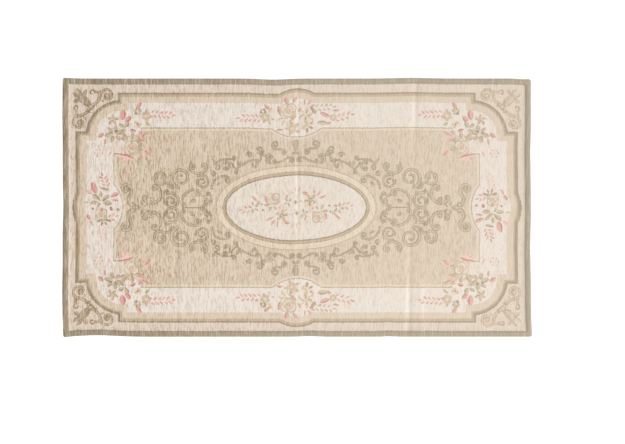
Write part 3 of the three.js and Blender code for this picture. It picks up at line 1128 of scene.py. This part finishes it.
def chenille_material(colours):
    """Chenille: yarn colours streaked along the ribs, a soft uneven pile, hardly any gloss, and a painted
    pale sheen towards the right.
    """
    material, tree = new_material("chenille_weave")
    yarn = tree.node("ShaderNodeAttribute", {"attribute_name": YARN_ATTRIBUTE}, output="Color")
    flecks = yarn.beside("Alpha")
    place = tree.node("ShaderNodeTexCoord", output="Object")

    def stretched(fibres):
        """The noise of some fibres."""
        shift, scale = (fibres.shift,) * 3, (fibres.along, fibres.across, 1.0)
        there = tree.node("ShaderNodeMapping", {}, {"Vector": place, "Location": shift, "Scale": scale})
        inputs = {"Vector": there, "Scale": 1.0, "Detail": fibres.detail, "Roughness": FIBRE_ROUGHNESS}
        return tree.node("ShaderNodeTexNoise", {}, inputs)

    def streaks(fibres):
        """0 between the streaks of some fibres and 1 on them."""
        stops = ((fibres.begin, 0), (fibres.full, 1))
        return tree.node("ShaderNodeValToRGB", {"stops": stops}, {"Fac": stretched(fibres)})

    apart = tree.node("ShaderNodeSeparateXYZ", {}, {"Vector": place})
    to_right = tree.node(
        "ShaderNodeMapRange",
        {"interpolation_type": "SMOOTHSTEP"},
        {"Value": apart, "From Min": HAZE_FROM, "From Max": HAZE_TO, "To Min": 0.0, "To Max": 1.0},
    )
    dark, pale = opaque(colours.dark_fleck), opaque(colours.pale_fleck)
    broad = stretched(BROAD_STREAKS)
    strength = flecks * (STREAKS_AT_LEFT - STREAKS_LOST * to_right)
    colour = blend(tree, "MULTIPLY", streaks(DARK_STREAKS) * strength, yarn, dark)
    colour = blend(tree, "MIX", streaks(PALE_STREAKS) * strength * PALE_SHARE, colour, pale)
    colour = blend(tree, "MULTIPLY", streaks(SHORT_FLECKS) * strength, colour, dark)
    colour = blend(tree, "MULTIPLY", (1 - broad) * flecks * BROAD_SHARE, colour, dark)
    # Painted sheen: the yarns blend towards a pale haze to the right, as the stronger light there.
    colour = blend(tree, "MIX", to_right * PAINTED_SHEEN, colour, opaque(colours.nap))

    relief = stretched(RIBS) * RIB_RELIEF + stretched(TUFTS) * TUFT_RELIEF + broad * BROAD_RELIEF
    bump = {"Strength": RELIEF_STRENGTH, "Distance": RELIEF_HEIGHT, "Height": relief}
    inputs = {
        "Base Color": colour,
        "Roughness": 0.93,
        "Specular IOR Level": 0.18,
        "Sheen Weight": 0.12,
        "Sheen Roughness": 0.5,
        "Normal": tree.node("ShaderNodeBump", {}, bump),
    }
    finish_surface(tree, inputs)
    return material


# Grain of the thread in waves per metre, and how strongly and deeply it shows.
THREAD_GRAIN = 2200.0
GRAIN_STRENGTH = 0.4
GRAIN_HEIGHT = 0.1 * MM


def thread_material(colours):
    """Sewing thread: mottled from a pale and a dark fibre, with a slight shine."""
    material, tree = new_material("hem_thread")
    place = tree.node("ShaderNodeTexCoord", output="Object")
    grain = tree.node("ShaderNodeTexNoise", {}, {"Vector": place, "Scale": THREAD_GRAIN, "Detail": 2.0})
    colour = blend(tree, "MIX", grain, opaque(colours.thread_dark), opaque(colours.thread_pale))
    bump = {"Strength": GRAIN_STRENGTH, "Distance": GRAIN_HEIGHT, "Height": grain}
    normal = tree.node("ShaderNodeBump", {}, bump)
    inputs = {"Base Color": colour, "Roughness": 0.7, "Specular IOR Level": 0.3, "Normal": normal}
    finish_surface(tree, inputs)
    return material


# The stitches: how far the thread's middle lies above the cloth as a share of its radius, how much
# smaller than full size one may be, the points on the path along a long and a short side, the
# faces round and along a stitch, and the fewest faces that the finished row may have.
THREAD_LIFT = 0.35
STITCH_UNEVENNESS = 0.15
PATH_POINTS_LONG = 240
PATH_POINTS_SHORT = 130
STITCH_SEGMENTS = 8
STITCH_RINGS = 6
FEWEST_FACES = 1000


def stitch_tree(material):
    """Geometry Nodes: short rounded stitches in a row along a path, sunk a little into the cloth."""
    group = bpy.data.node_groups.new("hem_stitches", "GeometryNodeTree")
    interface = group.interface
    interface.new_socket("Geometry", in_out="INPUT", socket_type="NodeSocketGeometry")
    for name in ("Pitch", "Stitch Length", "Thread Radius", "Unevenness"):
        interface.new_socket(name, in_out="INPUT", socket_type="NodeSocketFloat")
    interface.new_socket("Seed", in_out="INPUT", socket_type="NodeSocketInt")
    interface.new_socket("Geometry", in_out="OUTPUT", socket_type="NodeSocketGeometry")
    tree = Tree(group)
    given = tree.node("NodeGroupInput")
    radius = given.beside("Thread Radius")
    inputs = {"Curve": given.beside("Geometry"), "Length": given.beside("Pitch")}
    points = tree.node("GeometryNodeCurveToPoints", {"mode": "LENGTH"}, inputs)
    inputs = {"Segments": STITCH_SEGMENTS, "Rings": STITCH_RINGS, "Radius": radius}
    sphere = tree.node("GeometryNodeMeshUVSphere", {}, inputs)
    stretch = given.beside("Stitch Length") * (0.5 / radius)
    shape = tree.node("ShaderNodeCombineXYZ", {}, {"X": 1.0, "Y": 1.0, "Z": stretch})
    stitch = tree.node("GeometryNodeTransform", {}, {"Geometry": sphere, "Scale": shape})
    inputs = {2: 1 - given.beside("Unevenness"), 3: 1.0, "Seed": given.beside("Seed")}
    jitter = tree.node("FunctionNodeRandomValue", {"data_type": "FLOAT"}, inputs, output=1)
    turned = points.beside("Rotation")
    inputs = {"Points": points, "Instance": stitch, "Rotation": turned, "Scale": jitter}
    placed = tree.node("GeometryNodeInstanceOnPoints", {}, inputs)
    solid = tree.node("GeometryNodeRealizeInstances", {}, {"Geometry": placed})
    dressed = tree.node("GeometryNodeSetMaterial", {}, {"Geometry": solid, "Material": material})
    tree.node("NodeGroupOutput", {}, {"Geometry": dressed})
    return group


def stitch_path(ground, sizes, inset, lift):
    """A closed path just above the cloth, at one distance from its edge."""
    x_end, y_end = sizes.length / 2 - inset, sizes.width / 2 - inset
    along = np.linspace(-x_end, x_end, PATH_POINTS_LONG, endpoint=False)
    across = np.linspace(-y_end, y_end, PATH_POINTS_SHORT, endpoint=False)
    side, end = np.full(PATH_POINTS_SHORT, x_end), np.full(PATH_POINTS_LONG, y_end)
    flat_x = np.concatenate([along, side, -along, -side])
    flat_y = np.concatenate([-end, across, end, -across])
    path = []
    for x, y in zip(*ground.wander(flat_x, flat_y)):
        path.append((x, y, ground.height(x, y, inset) + unevenness(x, y, inset) + lift))
    return path


def sew_hem(ground, sizes, material):
    """The row of stitches that holds the turned edge, as one plain mesh."""
    curve = bpy.data.curves.new("hem_path", "CURVE")
    curve.dimensions = "3D"
    lift = sizes.thread_radius * THREAD_LIFT
    path = stitch_path(ground, sizes, sizes.stitch_inset, lift)
    spline = curve.splines.new("POLY")
    spline.points.add(len(path) - 1)
    for point, place in zip(spline.points, path):
        point.co = (*place, 1)
    spline.use_cyclic_u = True
    guide = add_object("hem_guide", curve)
    group = stitch_tree(material)
    modifier = guide.modifiers.new("Stitches", "NODES")
    modifier.node_group = group
    values = {
        "Pitch": sizes.stitch_pitch,
        "Stitch Length": sizes.stitch_length,
        "Thread Radius": sizes.thread_radius,
        "Unevenness": STITCH_UNEVENNESS,
        "Seed": sizes.seed,
    }
    for item in group.interface.items_tree:
        if item.in_out == "INPUT" and item.name in values:
            modifier[item.identifier] = values[item.name]
    evaluated = guide.evaluated_get(bpy.context.evaluated_depsgraph_get())
    mesh = bpy.data.meshes.new_from_object(evaluated)
    guide.modifiers.remove(modifier)
    bpy.data.objects.remove(guide)
    if len(mesh.polygons) < FEWEST_FACES:
        raise RuntimeError("the hem has too few stitches")
    mesh.name = "rug_hem_stitches"
    mesh.shade_smooth()
    return mesh


def add_object(name, data):
    """A new object of the scene, at the origin."""
    thing = bpy.data.objects.new(name, data)
    bpy.context.scene.collection.objects.link(thing)
    return thing


# The studio: the floor's own glow and how far it lies below the rug, the lamp's place and size,
# the tint of the even light, the camera's sensor in millimetres and how far it sees.
FLOOR_GLOW = 0.3
FLOOR_DROP = 0.4 * MM
LAMP_PLACE = (1.3, -2.6, 6.3)
LAMP_SIZE = 2.4
SKY_COLOUR = (0.985, 0.993, 1.015, 1)
CAMERA_SENSOR = 36
CAMERA_RANGE = 50


def floor_material(colour):
    """The sweep of a studio floor: matt white that the light burns out."""
    material, tree = new_material("studio_floor")
    inputs = {
        "Base Color": (*colour, 1),
        "Roughness": 0.95,
        "Emission Color": (1, 1, 1, 1),
        "Emission Strength": FLOOR_GLOW,
    }
    finish_surface(tree, inputs)
    return material


def add_floor(stage):
    """The square floor of the stage, just below the rug."""
    half = stage.floor_size / 2
    mesh = bpy.data.meshes.new("floor")
    corners = [(-half, -half, 0), (half, -half, 0), (half, half, 0), (-half, half, 0)]
    mesh.from_pydata(corners, [], [(0, 1, 2, 3)])
    mesh.materials.append(floor_material(stage.floor_colour))
    floor = add_object("floor", mesh)
    floor.location.z = -FLOOR_DROP


def add_light(name, location, size, power):
    """A square soft lamp that points at the origin."""
    lamp = bpy.data.lights.new(name, "AREA")
    lamp.shape = "SQUARE"
    lamp.size = size
    lamp.energy = power
    light = add_object(name, lamp)
    light.location = location
    light.rotation_mode = "QUATERNION"
    light.rotation_quaternion = (-Vector(location)).to_track_quat("-Z", "Y")


def add_world(strength):
    """Even light from all around."""
    world = bpy.data.worlds.new("studio")
    world.use_nodes = True
    tree = Tree(world.node_tree)
    glow = tree.node("ShaderNodeBackground", {}, {"Color": SKY_COLOUR, "Strength": strength})
    tree.node("ShaderNodeOutputWorld", {}, {"Surface": glow})
    bpy.context.scene.world = world


def add_camera(stage, sizes):
    """A camera straight above, so that the rug fills the same part of the frame as in the photograph."""
    square = sizes.length / SQUARES_ALONG
    data = bpy.data.cameras.new("camera")
    data.sensor_width = CAMERA_SENSOR
    data.lens = data.sensor_width * stage.camera_height / (FRAME_PIXELS[0] * square)
    data.clip_end = CAMERA_RANGE
    camera = add_object("camera", data)
    right = (FRAME_PIXELS[0] / 2 - MIDDLE_PIXEL[0]) * square
    up = (MIDDLE_PIXEL[1] - FRAME_PIXELS[1] / 2) * square
    camera.location = (right, up, stage.camera_height)
    bpy.context.scene.camera = camera


def colour_property(name, description, default):
    """A colour as seen on screen."""
    return bpy.props.FloatVectorProperty(
        name=name, description=description, default=default, subtype="COLOR_GAMMA", size=3, min=0, max=1
    )


def length_property(name, description, default, low, high):
    """A length in metres."""
    return bpy.props.FloatProperty(
        name=name, description=description, default=default, min=low, max=high, unit="LENGTH", precision=4
    )


class RugSizes(bpy.types.PropertyGroup):
    """Sizes of the cloth, its weave and its hem."""

    length: length_property("Length", "Cloth along the long side, hem included", 1.632, 0.5, 4)
    width: length_property("Width", "Cloth along the short side, hem included", 0.9, 0.3, 3)
    column_pitch: length_property("Rib pitch", "From one rib of the weave to the next", 0.0026, 0.002, 0.01)
    row_pitch: length_property("Row pitch", "From one row of the weave to the next", 0.0015, 0.001, 0.01)
    stitch_inset: length_property("Seam inset", "From the edge to the hem's seam", 0.0165, 0.005, 0.05)
    stitch_pitch: length_property("Stitch pitch", "From one stitch to the next", 0.0058, 0.002, 0.02)
    stitch_length: length_property("Stitch length", "Visible part of a stitch", 0.0044, 0.001, 0.02)
    thread_radius: length_property("Thread radius", "Half the thread's thickness", 0.00042, 0.0001, 0.002)
    seed: bpy.props.IntProperty(name="Seed", description="Start of all random draws", default=7, min=0)


class RugColours(bpy.types.PropertyGroup):
    """Colours of the yarns, the flecks in them, the painted sheen and the sewing thread."""

    __annotations__ = {
        **{yarn.key: colour_property(yarn.label, f"Yarn of the {yarn.use}", yarn.colour) for yarn in YARNS},
        "dark_fleck": colour_property("Dark fleck", "Tint of the darker fibres", (0.83, 0.765, 0.675)),
        "pale_fleck": colour_property("Pale fleck", "Colour of the paler fibres", (0.94, 0.89, 0.82)),
        # Painted sheen: pale haze over the yarns towards the right, standing in for the stronger light
        # there.
        "nap": colour_property("Nap", "Pale haze where the nap leans to the light", (0.937, 0.888, 0.81)),
        "thread_pale": colour_property("Thread, pale", "Paler fibres of the thread", (0.72, 0.66, 0.56)),
        "thread_dark": colour_property("Thread, dark", "Darker fibres of the thread", (0.52, 0.46, 0.37)),
    }


class RugStage(bpy.types.PropertyGroup):
    """The studio: floor, light and camera."""

    floor_colour: colour_property("Floor", "Colour of the floor", (0.92, 0.92, 0.92))
    floor_size: length_property("Floor size", "Side of the square floor", 14.0, 4, 40)
    camera_height: length_property("Camera height", "Camera above the floor", 6.5, 2, 20)
    sky_strength: bpy.props.FloatProperty(
        name="Soft light", description="Even light from all around", default=0.685, min=0, max=4
    )
    lamp_power: bpy.props.FloatProperty(
        name="Lamp",
        description="Large soft lamp above, to the right and towards the picture's lower edge",
        default=200,
        min=0,
        subtype="POWER",
    )


class RUG_OT_weave_cloth(bpy.types.Operator):
    """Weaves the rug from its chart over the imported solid"""

    bl_idname = "rug.weave_cloth"
    bl_label = "Weave the cloth"

    def execute(self, context):
        sizes, colours = context.scene.rug_sizes, context.scene.rug_colours
        mesh = weave_cloth(sizes, colours)
        mesh.materials.append(chenille_material(colours))
        cloth = add_object("rug_cloth", mesh)
        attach(cloth, "root")
        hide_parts(NODE)
        return {"FINISHED"}


class RUG_OT_sew_hem(bpy.types.Operator):
    """Sews the turned edge down with one row of stitches"""

    bl_idname = "rug.sew_hem"
    bl_label = "Sew the hem"

    def execute(self, context):
        sizes = context.scene.rug_sizes
        ground = Ground(sizes, Chart(sizes))
        mesh = sew_hem(ground, sizes, thread_material(context.scene.rug_colours))
        stitches = add_object("rug_hem_stitches", mesh)
        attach(stitches, "root")
        return {"FINISHED"}


class RUG_OT_set_stage(bpy.types.Operator):
    """Sets the floor, the soft light and the camera"""

    bl_idname = "rug.set_stage"
    bl_label = "Set the stage"

    def execute(self, context):
        stage = context.scene.rug_stage
        add_camera(stage, context.scene.rug_sizes)
        add_floor(stage)
        add_world(stage.sky_strength)
        add_light("lamp", LAMP_PLACE, LAMP_SIZE, stage.lamp_power)
        context.scene.view_settings.view_transform = "Standard"
        return {"FINISHED"}


class RUG_PT_panel(bpy.types.Panel):
    """The rug's operators and settings in the sidebar"""

    bl_label = "Medallion rug"
    bl_idname = "RUG_PT_panel"
    bl_space_type = "VIEW_3D"
    bl_region_type = "UI"
    bl_category = "Rug"

    def draw(self, context):
        layout = self.layout
        for operator in OPERATORS:
            layout.operator(operator.bl_idname)
        for group in (context.scene.rug_sizes, context.scene.rug_colours, context.scene.rug_stage):
            column = layout.column(align=True)
            for name in type(group).__annotations__:
                column.prop(group, name)


OPERATORS = (RUG_OT_set_stage, RUG_OT_sew_hem, RUG_OT_weave_cloth)
GROUPS = {"rug_sizes": RugSizes, "rug_colours": RugColours, "rug_stage": RugStage}


def register():
    for group in GROUPS.values():
        bpy.utils.register_class(group)
    for name, group in GROUPS.items():
        setattr(bpy.types.Scene, name, bpy.props.PointerProperty(type=group))
    for operator in OPERATORS:
        bpy.utils.register_class(operator)
    bpy.utils.register_class(RUG_PT_panel)


def unregister():
    bpy.utils.unregister_class(RUG_PT_panel)
    for operator in reversed(OPERATORS):
        bpy.utils.unregister_class(operator)
    for name, group in GROUPS.items():
        delattr(bpy.types.Scene, name)
        bpy.utils.unregister_class(group)


def main():
    register()
    bpy.ops.rug.set_stage()
    bpy.ops.rug.sew_hem()
    bpy.ops.rug.weave_cloth()


if __name__ == "__main__":
    main()
